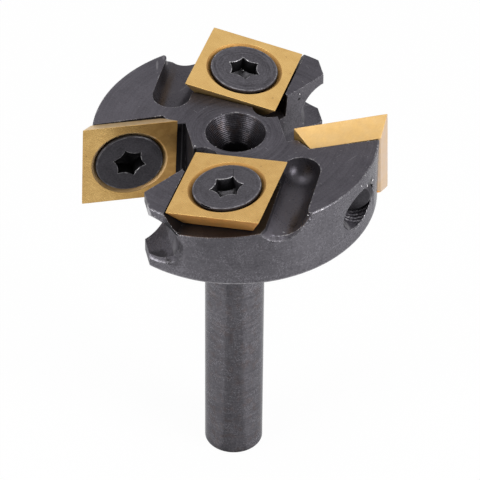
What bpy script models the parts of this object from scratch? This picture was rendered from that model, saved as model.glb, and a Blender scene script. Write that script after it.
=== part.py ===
# Surfacing router bit: a turned and milled steel body on a plain round shank, four square
# bevelled cutting inserts, and a countersunk six-lobe screw through the middle of each.
# Two inserts lie on the end face and two stand upright in the rim, half a turn apart.
# Metres, +Z up. The origin is the centre of the shank's end; the cutting face is on top.

from math import acos, atan2, cos, pi, radians, sin, sqrt, tan

import bmesh
import bpy
from mathutils import Matrix, Vector

# Body
SHANK_DIAMETER = 0.0127
SHANK_LENGTH = 0.072
SHANK_CHAMFER = 0.0006
NECK_FILLET = 0.001
CUTTING_DIAMETER = 0.0638
EDGE_PROJECTION = 0.00215
HEAD_THICKNESS = 0.0156
HEAD_EDGE_BREAK = 0.0002

# Turning centre in the cutting face
CENTRE_DIAMETER = 0.0126
CENTRE_CONE_ANGLE = radians(60)
PILOT_DIAMETER = 0.0063
PILOT_DEPTH = 0.009
DRILL_POINT_ANGLE = radians(118)

# Cutting inserts
INSERT_WIDTH = 0.0199
INSERT_THICKNESS = 0.0044
FLANK_ANGLE = radians(30)
COUNTERSINK_DIAMETER = 0.0161
COUNTERSINK_ANGLE = radians(90)
INSERT_BORE_DIAMETER = 0.0086
EDGE_HEIGHT = 0.0027

# Insert screws
SCREW_HEAD_DIAMETER = 0.0142
SCREW_HEAD_LAND = 0.00063
SCREW_THREAD_DIAMETER = 0.0078
SCREW_LENGTH = 0.0132
SCREW_END_CHAMFER = 0.0009
RECESS_POINT_DIAMETER = 0.00675
RECESS_VALLEY_DIAMETER = 0.00485
RECESS_DEPTH = 0.0028
RECESS_DIMPLE_DEPTH = 0.0006
RECESS_DIMPLE_SHARE = 0.5

# How far each screw has been turned, from its insert's +X to a point of its recess
SCREW_TURNS = {"front": radians(25), "back": radians(51), "left": radians(46), "right": radians(14)}

# Where the face inserts lie, in the frame of the front one
FACE_YAW = radians(-17.2)
FACE_TILT = radians(7.1)
FACE_LEAD = 0.01398

# Where the upright inserts stand, in the frame of the left one
SIDE_AZIMUTH = radians(192.25)
SIDE_FACE_OFFSET = 0.00358
SIDE_LEAN = radians(1.9)

# Clearances
SEAT_GAP = 0.0003
WALL_GAP = 0.0004
THREAD_GAP = 0.0003

# Gullet in front of an upright insert, and the tooth beyond it
GULLET_ROOT_MARGIN = 0.0022
GULLET_LEDGE = 0.0015
GULLET_CORNER_RADIUS = 0.0015
TOOTH_DISTANCE = 0.0184
TOOTH_ANGLE = radians(31.5)
TOOTH_TRIM = 0.0003
DRIVER_GROOVE_DIAMETER = 0.0103
DRIVER_GROOVE_CHAMFER = 0.0008

# Chip groove in front of a face insert
CHIP_GROOVE_RADIUS = 0.004
CHIP_GROOVE_DEPTH = 0.0043
CHIP_GROOVE_LEAD = 0.0025
CHIP_GROOVE_RUN_IN = 0.0014
CHIP_GROOVE_SPLAY = radians(4.4)
CHIP_MOUTH_CHAMFER = 0.0008

# Corner relief of a face pocket
RELIEF_RADIUS = 0.0036
RELIEF_INSET = 0.0016
RELIEF_START = 0.0014
RELIEF_TRAVEL = 0.0019
RELIEF_UNDERCUT = 0.0007

# Tapped holes
FACE_HOLE_SPARE = 0.0015
TAPPED_HOLE_CHAMFER = 0.0003

# Facets of round forms
HEAD_STEPS = 128
SMALL_STEPS = 48
ARC_STEPS = 6

HALF_TURN = Matrix.Rotation(pi, 4, "Z")
CUT_RADIUS = CUTTING_DIAMETER / 2
HEAD_RADIUS = CUT_RADIUS - EDGE_PROJECTION
HEAD_TOP = SHANK_LENGTH + HEAD_THICKNESS
HALF_WIDTH = INSERT_WIDTH / 2
BEYOND = CUTTING_DIAMETER


def material(name, color, roughness, metallic):
    mat = bpy.data.materials.new(name)
    mat.use_nodes = True
    shader = mat.node_tree.nodes["Principled BSDF"]
    shader.inputs["Base Color"].default_value = (*color, 1)
    shader.inputs["Roughness"].default_value = roughness
    shader.inputs["Metallic"].default_value = metallic
    return mat


def clear_scene():
    for obj in list(bpy.data.objects):
        bpy.data.objects.remove(obj)


def add_object(name, bm, mat=None, place=None):
    bmesh.ops.recalc_face_normals(bm, faces=bm.faces)
    mesh = bpy.data.meshes.new(name)
    bm.to_mesh(mesh)
    bm.free()
    obj = bpy.data.objects.new(name, mesh)
    bpy.context.scene.collection.objects.link(obj)
    if mat:
        mesh.materials.append(mat)
    if place:
        obj.matrix_world = place
    return obj


def shade_round(obj, angle=35):
    obj.data.shade_smooth()
    obj.data.set_sharp_from_angle(angle=radians(angle))


# A closed turned solid: the profile runs from the axis round the outside and back to the axis.
def turned(profile, steps):
    bm = bmesh.new()
    verts = [bm.verts.new((radius, 0, z)) for radius, z in profile]
    edges = [bm.edges.new(pair) for pair in zip(verts, verts[1:])]
    bmesh.ops.spin(bm, geom=verts + edges, cent=(0, 0, 0), axis=(0, 0, 1), angle=2 * pi,
                   steps=steps, use_merge=True)
    bmesh.ops.remove_doubles(bm, verts=bm.verts, dist=1e-7)
    return bm


# A solid through closed rings of equal count, given from the bottom up.
def lofted(rings):
    bm = bmesh.new()
    rings = [[bm.verts.new(point) for point in ring] for ring in rings]
    bm.faces.new(reversed(rings[0]))
    bm.faces.new(rings[-1])
    for low, high in zip(rings, rings[1:]):
        for i in range(len(low)):
            bm.faces.new((low[i - 1], low[i], high[i], high[i - 1]))
    return bm


def level(outline, z):
    return [(x, y, z) for x, y in outline]


def square(half, z):
    return level([(-half, -half), (half, -half), (half, half), (-half, half)], z)


def prism(outline, z_low, z_high):
    return lofted([level(outline, z_low), level(outline, z_high)])


def arc(cx, cy, radius, start, end, steps):
    angles = [start + (end - start) * i / steps for i in range(steps + 1)]
    return [(cx + radius * cos(a), cy + radius * sin(a)) for a in angles]


def cut(body, cutter):
    cutter.hide_render = True
    cutter.display_type = "WIRE"
    modifier = body.modifiers.new(cutter.name, "BOOLEAN")
    modifier.operation = "DIFFERENCE"
    modifier.solver = "EXACT"
    modifier.object = cutter


# The front face insert: its frame's origin is the middle of its top face, +X points at its
# leading edge and +Z out of the face. Its leading outer corner lies on the cutting circle.
def face_frame():
    reach = sqrt(CUT_RADIUS ** 2 - FACE_LEAD ** 2)
    drop = HALF_WIDTH * sin(FACE_TILT)
    return (Matrix.Rotation(FACE_YAW, 4, "Z")
            @ Matrix.Translation((FACE_LEAD - HALF_WIDTH, HALF_WIDTH - reach,
                                  HEAD_TOP + EDGE_HEIGHT - drop))
            @ Matrix.Rotation(-FACE_TILT, 4, "Y"))


# The level frame of the left upright insert: +X points inwards along its face, +Y up and +Z
# out of the face. Its origin is on the head's axis at the height of the insert's middle.
def side_frame():
    inward = SIDE_AZIMUTH - pi
    drop = HALF_WIDTH * (cos(SIDE_LEAN) + sin(SIDE_LEAN))
    axes = Matrix.Rotation(inward, 4, "Z") @ Matrix.Rotation(pi / 2, 4, "X")
    return Matrix.Translation((0, 0, HEAD_TOP + EDGE_HEIGHT - drop)) @ axes


# How far the middle of an upright insert lies from the head's axis, along its face.
def side_reach():
    return sqrt(CUT_RADIUS ** 2 - SIDE_FACE_OFFSET ** 2) - HALF_WIDTH


def side_insert_frame():
    return (side_frame() @ Matrix.Translation((-side_reach(), 0, -SIDE_FACE_OFFSET))
            @ Matrix.Rotation(-SIDE_LEAN, 4, "Z"))


# How far the head's countersunk cone sits below the insert's, along the screw.
def cone_drop():
    return SEAT_GAP / sin(COUNTERSINK_ANGLE / 2)


def head_land_depth():
    step = (COUNTERSINK_DIAMETER - SCREW_HEAD_DIAMETER) / 2
    return step / tan(COUNTERSINK_ANGLE / 2) - cone_drop()


def screw_top_depth():
    return head_land_depth() - SCREW_HEAD_LAND


# Square insert with four flanks that lean in below the sharp top edges, and a countersunk hole.
def make_insert(name, mat, place):
    back = HALF_WIDTH - INSERT_THICKNESS * tan(FLANK_ANGLE)
    blank = lofted([square(back, -INSERT_THICKNESS), square(HALF_WIDTH, 0)])
    insert = add_object(name, blank, mat, place)
    rim = COUNTERSINK_DIAMETER / 2
    bore = INSERT_BORE_DIAMETER / 2
    slope = tan(COUNTERSINK_ANGLE / 2)
    above = INSERT_THICKNESS
    profile = [(0, above), (rim + above * slope, above), (bore, -(rim - bore) / slope),
               (bore, -2 * INSERT_THICKNESS), (0, -2 * INSERT_THICKNESS)]
    cutter = add_object(name + "_countersink", turned(profile, 2 * SMALL_STEPS), None, place)
    cut(insert, cutter)
    shade_round(insert)
    return insert


# One edge of the six-lobe recess between two points is an arc that bulges towards the middle.
def recess_outline(turn):
    point = RECESS_POINT_DIAMETER / 2
    valley = RECESS_VALLEY_DIAMETER / 2
    reach = (point ** 2 - valley ** 2) / (2 * (point * cos(pi / 6) - valley))
    bulge = reach - valley
    half = acos((reach - point * cos(pi / 6)) / bulge)
    outline = []
    for i in range(6):
        middle = turn + i * pi / 3 + pi / 6
        cx = reach * cos(middle)
        cy = reach * sin(middle)
        outline += arc(cx, cy, bulge, middle + pi + half, middle + pi - half, ARC_STEPS)[:-1]
    return outline


def make_screw(name, mat, place, turn):
    top = -screw_top_depth()
    head = SCREW_HEAD_DIAMETER / 2
    thread = SCREW_THREAD_DIAMETER / 2
    land = -head_land_depth()
    neck = land - (head - thread) / tan(COUNTERSINK_ANGLE / 2)
    end = top - SCREW_LENGTH
    tip = thread - SCREW_END_CHAMFER
    profile = [(0, top), (head, top), (head, land), (thread, neck),
               (thread, end + SCREW_END_CHAMFER), (tip, end), (0, end)]
    screw = add_object(name, turned(profile, SMALL_STEPS), mat, place)
    floor = top - RECESS_DEPTH
    outline = recess_outline(turn)
    dimple = [(x * RECESS_DIMPLE_SHARE, y * RECESS_DIMPLE_SHARE) for x, y in outline]
    rings = [level(dimple, floor - RECESS_DIMPLE_DEPTH), level(outline, floor),
             level(outline, top + RECESS_DEPTH)]
    cut(screw, add_object(name + "_recess", lofted(rings), None, place))
    shade_round(screw)
    return screw


# Shank, head and turning centre in one turned profile.
def body_blank():
    shank = SHANK_DIAMETER / 2
    mouth = CENTRE_DIAMETER / 2
    pilot = PILOT_DIAMETER / 2
    cone_depth = (mouth - pilot) / tan(CENTRE_CONE_ANGLE / 2)
    drill_point = pilot / tan(DRILL_POINT_ANGLE / 2)
    fillet = arc(shank + NECK_FILLET, SHANK_LENGTH - NECK_FILLET, NECK_FILLET, pi, pi / 2, ARC_STEPS)
    profile = [(0, 0), (shank - SHANK_CHAMFER, 0), (shank, SHANK_CHAMFER)]
    profile += fillet
    profile += [(HEAD_RADIUS - HEAD_EDGE_BREAK, SHANK_LENGTH),
                (HEAD_RADIUS, SHANK_LENGTH + HEAD_EDGE_BREAK),
                (HEAD_RADIUS, HEAD_TOP - HEAD_EDGE_BREAK),
                (HEAD_RADIUS - HEAD_EDGE_BREAK, HEAD_TOP),
                (mouth, HEAD_TOP),
                (pilot, HEAD_TOP - cone_depth),
                (pilot, HEAD_TOP - PILOT_DEPTH),
                (0, HEAD_TOP - PILOT_DEPTH - drill_point)]
    return turned(profile, HEAD_STEPS)


# Gullet outline in the upright insert's level frame: x inwards along the insert's face and y,
# which stands for the height over the face, towards the tooth.
def gullet_outline():
    reach = side_reach()
    root = -(reach - HALF_WIDTH - GULLET_ROOT_MARGIN)
    ledge = -SIDE_FACE_OFFSET - GULLET_LEDGE
    trim = -(reach + TOOTH_TRIM)
    tip = -SIDE_FACE_OFFSET + TOOTH_DISTANCE
    slope = tan(TOOTH_ANGLE)
    radius = GULLET_CORNER_RADIUS
    cx = root - radius
    cy = tip - (root - trim) * slope + radius * slope - radius / cos(TOOTH_ANGLE)
    corner = arc(cx, cy, radius, 0, pi / 2 - TOOTH_ANGLE, ARC_STEPS)
    return ([(-BEYOND, ledge), (root, ledge)] + corner
            + [(trim, tip), (trim, BEYOND), (-BEYOND, BEYOND)])


# Seat of an upright insert: a flat back wall and an inner wall that follows the insert's flank.
def side_seat_outline():
    slope = tan(FLANK_ANGLE)
    gap = WALL_GAP / cos(FLANK_ANGLE)
    back = INSERT_THICKNESS + SEAT_GAP
    inner = HALF_WIDTH + gap
    return [(-BEYOND, -back), (inner - back * slope, -back), (inner, 0), (-BEYOND, 0)]


# Pocket of a face insert: a floor, two walls that follow the insert's trailing and inner
# flanks, and the other two sides open to the chip groove and the rim.
def face_pocket():
    slope = tan(FLANK_ANGLE)
    gap = WALL_GAP / cos(FLANK_ANGLE)
    back = INSERT_THICKNESS + SEAT_GAP
    lead = HALF_WIDTH + SEAT_GAP

    def outline(height):
        edge = HALF_WIDTH + gap + height * slope
        return [(-edge, -BEYOND), (lead, -BEYOND), (lead, edge), (-edge, edge)]

    return lofted([level(outline(-back), -back), level(outline(back), back)])


def relief_outline():
    x = -HALF_WIDTH + RELIEF_INSET
    y_high = HALF_WIDTH - RELIEF_START
    y_low = y_high - RELIEF_TRAVEL
    upper = arc(x, y_high, RELIEF_RADIUS, 0, pi, 3 * ARC_STEPS)
    lower = arc(x, y_low, RELIEF_RADIUS, pi, 2 * pi, 3 * ARC_STEPS)
    return upper + lower


# Chip groove: a ball-ended round cutter that runs outwards in front of the leading edge.
def chip_groove_frame():
    frame = face_frame()
    start = frame @ Vector((HALF_WIDTH + CHIP_GROOVE_LEAD, HALF_WIDTH + CHIP_GROOVE_RUN_IN, 0))
    level = HEAD_TOP - CHIP_GROOVE_DEPTH + CHIP_GROOVE_RADIUS
    heading = FACE_YAW - pi / 2 + CHIP_GROOVE_SPLAY
    return (Matrix.Translation((start.x, start.y, level)) @ Matrix.Rotation(heading, 4, "Z")
            @ Matrix.Rotation(pi / 2, 4, "Y"))


def chip_groove():
    ball = arc(0, 0, CHIP_GROOVE_RADIUS, -pi / 2, 0, 2 * ARC_STEPS)
    return turned(ball + [(CHIP_GROOVE_RADIUS, BEYOND), (0, BEYOND)], SMALL_STEPS)


# How far a point travels along a level heading before it leaves through the rim.
def run_to_rim(point, heading):
    along = point.xy.dot(heading.xy)
    return sqrt(along ** 2 + HEAD_RADIUS ** 2 - point.xy.length_squared) - along


# The broken edge where the chip groove leaves the rim is a cone on a line from the head's axis,
# widened sideways because the groove meets the rim at a slant.
def chip_mouth_frame():
    frame = chip_groove_frame()
    heading = frame.col[2].xyz
    mouth = frame.translation + heading * run_to_rim(frame.translation, heading)
    azimuth = atan2(mouth.y, mouth.x)
    slant = cos(azimuth - atan2(heading.y, heading.x))
    return (Matrix.Translation(mouth) @ Matrix.Rotation(azimuth, 4, "Z")
            @ Matrix.Rotation(pi / 2, 4, "Y") @ Matrix.Scale(1 / slant, 4, (0, 1, 0)))


def chip_mouth():
    depth = CHIP_GROOVE_RADIUS + CHIP_MOUTH_CHAMFER
    return turned([(0, -depth), (2 * depth, depth), (0, depth)], SMALL_STEPS)


# A round hole from its frame's origin along +Z and out through the rim, with a broken edge
# all round its slanting mouth.
def hole_to_rim(frame, radius, chamfer):
    heading = frame.col[2].xyz
    wide = radius + chamfer
    rings = [[], [], [], []]
    for i in range(SMALL_STEPS):
        spoke = Vector((cos(2 * pi * i / SMALL_STEPS), sin(2 * pi * i / SMALL_STEPS), 0))
        narrow_run = run_to_rim(frame @ (spoke * radius), heading)
        wide_run = run_to_rim(frame @ (spoke * wide), heading)
        stations = ((radius, 0), (radius, narrow_run - chamfer), (wide, wide_run), (wide, BEYOND))
        for ring, (reach, z) in zip(rings, stations):
            ring.append((spoke.x * reach, spoke.y * reach, z))
    return lofted(rings)


def round_cut(radius, start, end):
    return turned([(0, start), (radius, start), (radius, end), (0, end)], SMALL_STEPS)


def make_body(mat):
    body = add_object("cutter_body", body_blank(), mat)
    face = face_frame()
    side = side_frame()
    side_seat = side_insert_frame()
    side_back = side_seat @ Matrix.Rotation(pi, 4, "X")
    driver = DRIVER_GROOVE_DIAMETER / 2
    back = INSERT_THICKNESS + SEAT_GAP
    tapped = SCREW_THREAD_DIAMETER / 2 + THREAD_GAP
    hole_end = -(screw_top_depth() + SCREW_LENGTH + FACE_HOLE_SPARE)
    prism_axis = Matrix.Rotation(pi / 2, 4, "X")
    for tag, turn in (("front", Matrix.Identity(4)), ("back", HALF_TURN)):
        cutters = (
            ("gullet", prism(gullet_outline(), -BEYOND, BEYOND), turn @ side @ prism_axis),
            ("side_seat", prism(side_seat_outline(), -BEYOND, BEYOND), turn @ side_seat @ prism_axis),
            ("driver_groove", hole_to_rim(side_seat, driver, DRIVER_GROOVE_CHAMFER), turn @ side_seat),
            ("side_tapping", hole_to_rim(side_back, tapped, TAPPED_HOLE_CHAMFER), turn @ side_back),
            ("pocket", face_pocket(), turn @ face),
            ("relief", prism(relief_outline(), -back - RELIEF_UNDERCUT, back), turn @ face),
            ("face_tapping", round_cut(tapped, hole_end, 0), turn @ face),
            ("chip_groove", chip_groove(), turn @ chip_groove_frame()),
            ("chip_mouth", chip_mouth(), turn @ chip_mouth_frame()),
        )
        for name, bm, place in cutters:
            cut(body, add_object(name + "_" + tag, bm, None, place))
    shade_round(body)
    return body


def main():
    clear_scene()
    steel = material("black_oxide_steel", (0.075, 0.074, 0.08), 0.45, 0.85)
    gold = material("gold_nitride", (0.72, 0.47, 0.16), 0.3, 1.0)
    dark = material("blackened_screw", (0.06, 0.06, 0.064), 0.4, 0.85)
    make_body(steel)
    places = (
        ("face", "front", face_frame()),
        ("face", "back", HALF_TURN @ face_frame()),
        ("side", "left", side_insert_frame()),
        ("side", "right", HALF_TURN @ side_insert_frame()),
    )
    for kind, where, place in places:
        make_insert(kind + "_insert_" + where, gold, place)
        make_screw(kind + "_screw_" + where, dark, place, SCREW_TURNS[where])


main()
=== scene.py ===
from math import cos, pi, radians, sin, sqrt, tan

import bmesh
import bpy
from mathutils import Matrix, Vector


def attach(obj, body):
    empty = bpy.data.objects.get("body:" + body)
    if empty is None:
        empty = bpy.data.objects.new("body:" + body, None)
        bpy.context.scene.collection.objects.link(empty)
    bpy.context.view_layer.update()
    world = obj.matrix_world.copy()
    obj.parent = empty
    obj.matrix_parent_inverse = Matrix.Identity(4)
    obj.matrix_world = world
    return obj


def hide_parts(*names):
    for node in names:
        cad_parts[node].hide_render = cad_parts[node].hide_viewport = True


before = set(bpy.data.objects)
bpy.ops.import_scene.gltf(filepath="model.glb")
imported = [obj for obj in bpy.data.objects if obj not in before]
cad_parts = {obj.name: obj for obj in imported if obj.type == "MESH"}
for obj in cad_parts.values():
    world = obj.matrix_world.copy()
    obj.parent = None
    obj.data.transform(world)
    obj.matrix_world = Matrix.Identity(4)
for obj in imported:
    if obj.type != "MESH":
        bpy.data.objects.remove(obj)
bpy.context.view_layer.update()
print("frame loaded:", ", ".join(sorted(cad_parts)))

mm = 0.001
halfTurn = Matrix.Rotation(pi, 4, "Z")


# Wraps a node's socket, so that sums on values add their own Math nodes.
class Wire:
    def __init__(self, wiring, socket):
        self.wiring = wiring
        self.socket = socket

    def math(self, operation, *values):
        return self.wiring.node("ShaderNodeMath", dict(operation=operation), dict(enumerate(values)))

    def __add__(self, other):
        return self.math("ADD", self, other)

    def __sub__(self, other):
        return self.math("SUBTRACT", self, other)

    def __rsub__(self, other):
        return self.math("SUBTRACT", other, self)

    def __mul__(self, other):
        return self.math("MULTIPLY", self, other)

    def __truediv__(self, other):
        return self.math("DIVIDE", self, other)

    def __pow__(self, other):
        return self.math("POWER", self, other)

    def __neg__(self):
        return self * -1

    def __gt__(self, other):
        return self.math("GREATER_THAN", self, other)

    def __lt__(self, other):
        return self.math("LESS_THAN", self, other)

    __radd__ = __add__
    __rmul__ = __mul__

    def absolute(self):
        return self.math("ABSOLUTE", self)

    def between(self, low, high):
        return (self > low) * (self < high)

    def clamped(self):
        return self.math("MINIMUM", self.math("MAXIMUM", self, 0), 1)

    # 0 before start and 1 past end, eased in between; it falls where end is the lower one.
    def smooth(self, start, end):
        low, high = sorted((start, end))
        rise = self.wiring.node("ShaderNodeMapRange", dict(interpolation_type="SMOOTHSTEP"),
                                {"Value": self, "From Min": low, "From Max": high})
        return rise if start < end else 1 - rise


# A node tree that is wired by calls.
class Wiring:
    def __init__(self, tree):
        self.tree = tree
        tree.nodes.clear()

    # Any node: its settings are set first, then its sockets by name or number.
    def node(self, kind, settings=None, sockets=None, out=0):
        made = self.tree.nodes.new(kind)
        for name, value in (settings or {}).items():
            setattr(made, name, value)
        for name, value in (sockets or {}).items():
            if isinstance(value, Wire):
                self.tree.links.new(value.socket, made.inputs[name])
            else:
                made.inputs[name].default_value = value
        return Wire(self, made.outputs[out]) if len(made.outputs) else None


class Shader(Wiring):
    def noise(self, vector, scale, detail, roughness):
        return self.node("ShaderNodeTexNoise", None,
                         {"Vector": vector, "Scale": scale, "Detail": detail, "Roughness": roughness})

    # A finish's noises in the order of its settings, each by scale, detail and roughness: it runs
    # about 0 or, where a rise is told too, from 0 to 1.
    def noises(self, place, kinds):
        made = []
        for scale, detail, roughness, *rise in kinds.values():
            noise = self.noise(place, scale, detail, roughness)
            made.append(noise.smooth(*rise) if rise else noise - 0.5)
        return made

    def scaled(self, vector, factors):
        return self.node("ShaderNodeVectorMath", dict(operation="MULTIPLY"), {0: vector, 1: factors})

    def turned(self, vector, turn):
        return self.node("ShaderNodeMapping", None, {"Vector": vector, "Rotation": turn})

    def axes(self, vector):
        parts = self.node("ShaderNodeSeparateXYZ", None, {"Vector": vector})
        return [Wire(self, socket) for socket in parts.socket.node.outputs]

    # A number that the mesh carries at each point or, from output 1, a vector.
    def attribute(self, name, out=2):
        return self.node("ShaderNodeAttribute", dict(attribute_name=name), out=out)

    # A place for turned marks, which run slowly round the axis and quickly along the profile.
    def turnedMarks(self, x, y, radius, profile):
        around = radius + 1e-5
        return self.node("ShaderNodeCombineXYZ", None, {"X": x / around, "Y": y / around, "Z": profile})

    # 1 inside an egg-shaped spot and 0 outside it, its sizes in the same units as its centre.
    def spot(self, vector, centre, size, ragged):
        off = self.node("ShaderNodeVectorMath", dict(operation="SUBTRACT"),
                        {0: vector, 1: [c * mm for c in centre]})
        scaled = self.scaled(off, [1 / (s * mm) for s in size])
        out = self.node("ShaderNodeVectorMath", dict(operation="LENGTH"), {0: scaled}, out=1)
        return (out + ragged).smooth(1.1, 0.6)

    # Colours are told as red, green and blue; what another node gives is taken as it comes.
    def mixed(self, factor, low, high):
        low, high = [end if isinstance(end, Wire) else (*end, 1) for end in (low, high)]
        return self.node("ShaderNodeMix", dict(data_type="RGBA"), {0: factor, 6: low, 7: high}, out=2)

    # The normal with edges rounded by a radius, and how far that turns it from the true one.
    def roundedEdge(self, radius, samples=6):
        rounded = self.node("ShaderNodeBevel", dict(samples=samples), {"Radius": radius})
        true = self.node("ShaderNodeNewGeometry", out=1)
        facing = self.node("ShaderNodeVectorMath", dict(operation="DOT_PRODUCT"),
                           {0: rounded, 1: true}, out=1)
        return rounded, 1 - facing

    def openAir(self, distance):
        return self.node("ShaderNodeAmbientOcclusion", dict(samples=6), {"Distance": distance}, out=1)

    def bumped(self, height, distance, strength, normal):
        return self.node("ShaderNodeBump", None, {"Height": height, "Distance": distance,
                                                  "Strength": strength, "Normal": normal})

    def surface(self, sockets):
        shaded = self.node("ShaderNodeBsdfPrincipled", None, sockets)
        self.node("ShaderNodeOutputMaterial", None, {"Surface": shaded})


def newMaterial(name):
    material = bpy.data.materials.new(name)
    material.use_nodes = True
    return material, Shader(material.node_tree)


# Where things are, as in the part's source.
head = dict(top=87.6 * mm, thickness=15.6 * mm, radius=29.75 * mm, cutRadius=31.9 * mm)
centreHole = dict(mouth=6.3 * mm, coneDepth=5.456 * mm)
chipGroove = dict(start=(13.55 * mm, -11.81 * mm), heading=(-0.2215, -0.9751), radius=4.0 * mm,
                  depth=4.6 * mm)
faceSeat = dict(yaw=radians(-17.2), tilt=radians(7.1), lead=13.98 * mm, edgeHeight=2.7 * mm)
sideSeat = dict(azimuth=radians(192.25), faceOffset=3.58 * mm, lean=radians(1.9))
insert = dict(half=9.95 * mm, thickness=4.4 * mm, flankAngle=radians(30), countersink=8.05 * mm,
              bore=4.3 * mm, hone=0.07 * mm, lip=0.05 * mm, corner=0.12 * mm, steps=96,
              smooth=20)
screw = dict(head=7.1 * mm, top=0.104 * mm, land=0.63 * mm, rimWidth=0.2 * mm, thread=3.9 * mm,
             length=13.2 * mm, endChamfer=0.9 * mm, pitch=1.0 * mm, ridge=0.5 * mm,
             point=3.6 * mm, valley=2.58 * mm, recess=3.1 * mm, dimple=0.6 * mm,
             recessLip=0.07 * mm, rubWidth=0.24 * mm, steps=96, smooth=30,
             bluntness=0.025, bluntRise=0.3, dimpleShare=0.5, dimpleWall=0.85,
             rimCurve=((0.4, 0.18), (0.1, 0.45)), rimFoot=1.4)  # in and down, in rim widths
screwTurns = dict(faceFront=25, faceBack=51, sideLeft=46, sideRight=14)  # degrees


def faceFrame():
    reach = sqrt(head["cutRadius"] ** 2 - faceSeat["lead"] ** 2)
    drop = insert["half"] * sin(faceSeat["tilt"])
    return (Matrix.Rotation(faceSeat["yaw"], 4, "Z")
            @ Matrix.Translation((faceSeat["lead"] - insert["half"], insert["half"] - reach,
                                  head["top"] + faceSeat["edgeHeight"] - drop))
            @ Matrix.Rotation(-faceSeat["tilt"], 4, "Y"))


def sideFrame():
    lean = sideSeat["lean"]
    drop = insert["half"] * (cos(lean) + sin(lean))
    reach = sqrt(head["cutRadius"] ** 2 - sideSeat["faceOffset"] ** 2) - insert["half"]
    return (Matrix.Translation((0, 0, head["top"] + faceSeat["edgeHeight"] - drop))
            @ Matrix.Rotation(sideSeat["azimuth"] - pi, 4, "Z") @ Matrix.Rotation(pi / 2, 4, "X")
            @ Matrix.Translation((-reach, 0, -sideSeat["faceOffset"])) @ Matrix.Rotation(-lean, 4, "Z"))


seats = dict(faceFront=faceFrame(), faceBack=halfTurn @ faceFrame(),
             sideLeft=sideFrame(), sideRight=halfTurn @ sideFrame())
nodeNames = dict(faceFront=("face_insert_front", "face_screw_front"),
                 faceBack=("face_insert_back", "face_screw_back"),
                 sideLeft=("side_insert_left", "side_screw_left"),
                 sideRight=("side_insert_right", "side_screw_right"))


def newObject(name, data):
    obj = bpy.data.objects.new(name, data)
    bpy.context.scene.collection.objects.link(obj)
    return obj


def showPiece(name, mesh, material, nodes=()):
    piece = newObject(name, mesh)
    mesh.materials.clear()
    mesh.materials.append(material)
    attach(piece, "root")
    if nodes:
        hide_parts(*nodes)


# The mesh of a finished bmesh, which is freed.
def meshOf(bm, name):
    mesh = bpy.data.meshes.new(name)
    bm.to_mesh(mesh)
    bm.free()
    return mesh


# A skin over rings of points; a ring of one point is a pole, and closed joins the last ring to
# the first.
def loftMesh(name, rings, closed=False):
    bm = bmesh.new()
    loops = [[bm.verts.new(point) for point in ring] for ring in rings]
    pairs = list(zip(loops, loops[1:])) + ([(loops[-1], loops[0])] if closed else [])
    for low, high in pairs:
        for i in range(max(len(low), len(high))):
            corners = [low[i - 1], low[i], high[i], high[i - 1]] if len(low) == len(high) else (
                [low[0], high[i], high[i - 1]] if len(low) == 1 else [low[i - 1], low[i], high[0]])
            bm.faces.new(corners)
    bmesh.ops.recalc_face_normals(bm, faces=bm.faces)
    return meshOf(bm, name)


# Keeps each point's place in its own seat, for patterns that follow the piece, and any number
# that is the piece's own.
def keepLocalPlace(mesh, seat, **own):
    places = mesh.attributes.new("localPlace", "FLOAT_VECTOR", "POINT")
    for vertex, place in zip(mesh.vertices, places.data):
        place.vector = vertex.co
    for name, value in own.items():
        kept = mesh.attributes.new(name, "FLOAT", "POINT")
        kept.data.foreach_set("value", [value] * len(mesh.vertices))
    mesh.transform(seat)


def smoothUnder(mesh, angle):
    mesh.shade_smooth()
    mesh.set_sharp_from_angle(angle=radians(angle))


def circleRing(radius, z, steps):
    angles = [2 * pi * i / steps for i in range(steps)]
    return [(radius * cos(angle), radius * sin(angle), z) for angle in angles]


# A square ring sampled at a circle's angles, with its corners slightly rounded.
def squareRing(half, z, steps):
    ring = []
    for i in range(steps):
        angle = 2 * pi * i / steps
        reach = half / max(abs(cos(angle)), abs(sin(angle)))
        limit = half * sqrt(2) - insert["corner"] * (sqrt(2) - 1)
        ring.append((min(reach, limit) * cos(angle), min(reach, limit) * sin(angle), z))
    return ring


def insertMesh(name):
    s = insert
    steps, hone, lip = s["steps"], s["hone"], s["lip"]
    back = s["half"] - s["thickness"] * tan(s["flankAngle"])
    coneFoot = -(s["countersink"] - s["bore"])
    rings = [circleRing(s["countersink"] + lip / 2, 0, steps),
             squareRing(s["half"] - hone, 0, steps),
             squareRing(s["half"] - hone / 3, -hone / 2, steps),
             squareRing(s["half"] - hone * tan(s["flankAngle"]) / 2, -hone, steps),
             squareRing(back + hone, -s["thickness"] + hone, steps),
             squareRing(back, -s["thickness"], steps),
             circleRing(s["bore"] + lip, -s["thickness"], steps),
             circleRing(s["bore"], -s["thickness"] + lip, steps),
             circleRing(s["bore"], coneFoot, steps),
             circleRing(s["countersink"] - lip, -lip, steps)]
    return loftMesh(name, rings, closed=True)


# The recess's edge, round its middle: six arcs that bulge inwards between blunt points.
def recessReach(angle):
    point, valley = screw["point"], screw["valley"]
    reach = (point ** 2 - valley ** 2) / (2 * (point * cos(pi / 6) - valley))
    bulge = reach - valley
    off = (angle % (pi / 3)) - pi / 6
    edge = reach * cos(off) - sqrt(max(bulge ** 2 - (reach * sin(off)) ** 2, 0))
    blunt = point * (1 - screw["bluntness"])
    return blunt + (edge - blunt) * screw["bluntRise"] if edge > blunt else edge


def recessRing(z, turn, share=1.0, grow=0.0):
    steps = screw["steps"]
    ring = []
    for i in range(steps):
        angle = 2 * pi * i / steps
        reach = recessReach(angle - turn) * share + grow
        ring.append((reach * cos(angle), reach * sin(angle), z))
    return ring


# A nick knocked into a head's rim, its half width in the ring's steps.
nickCut = dict(halfWidth=1.8, depth=0.55 * mm, drop=0.4 * mm)


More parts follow.
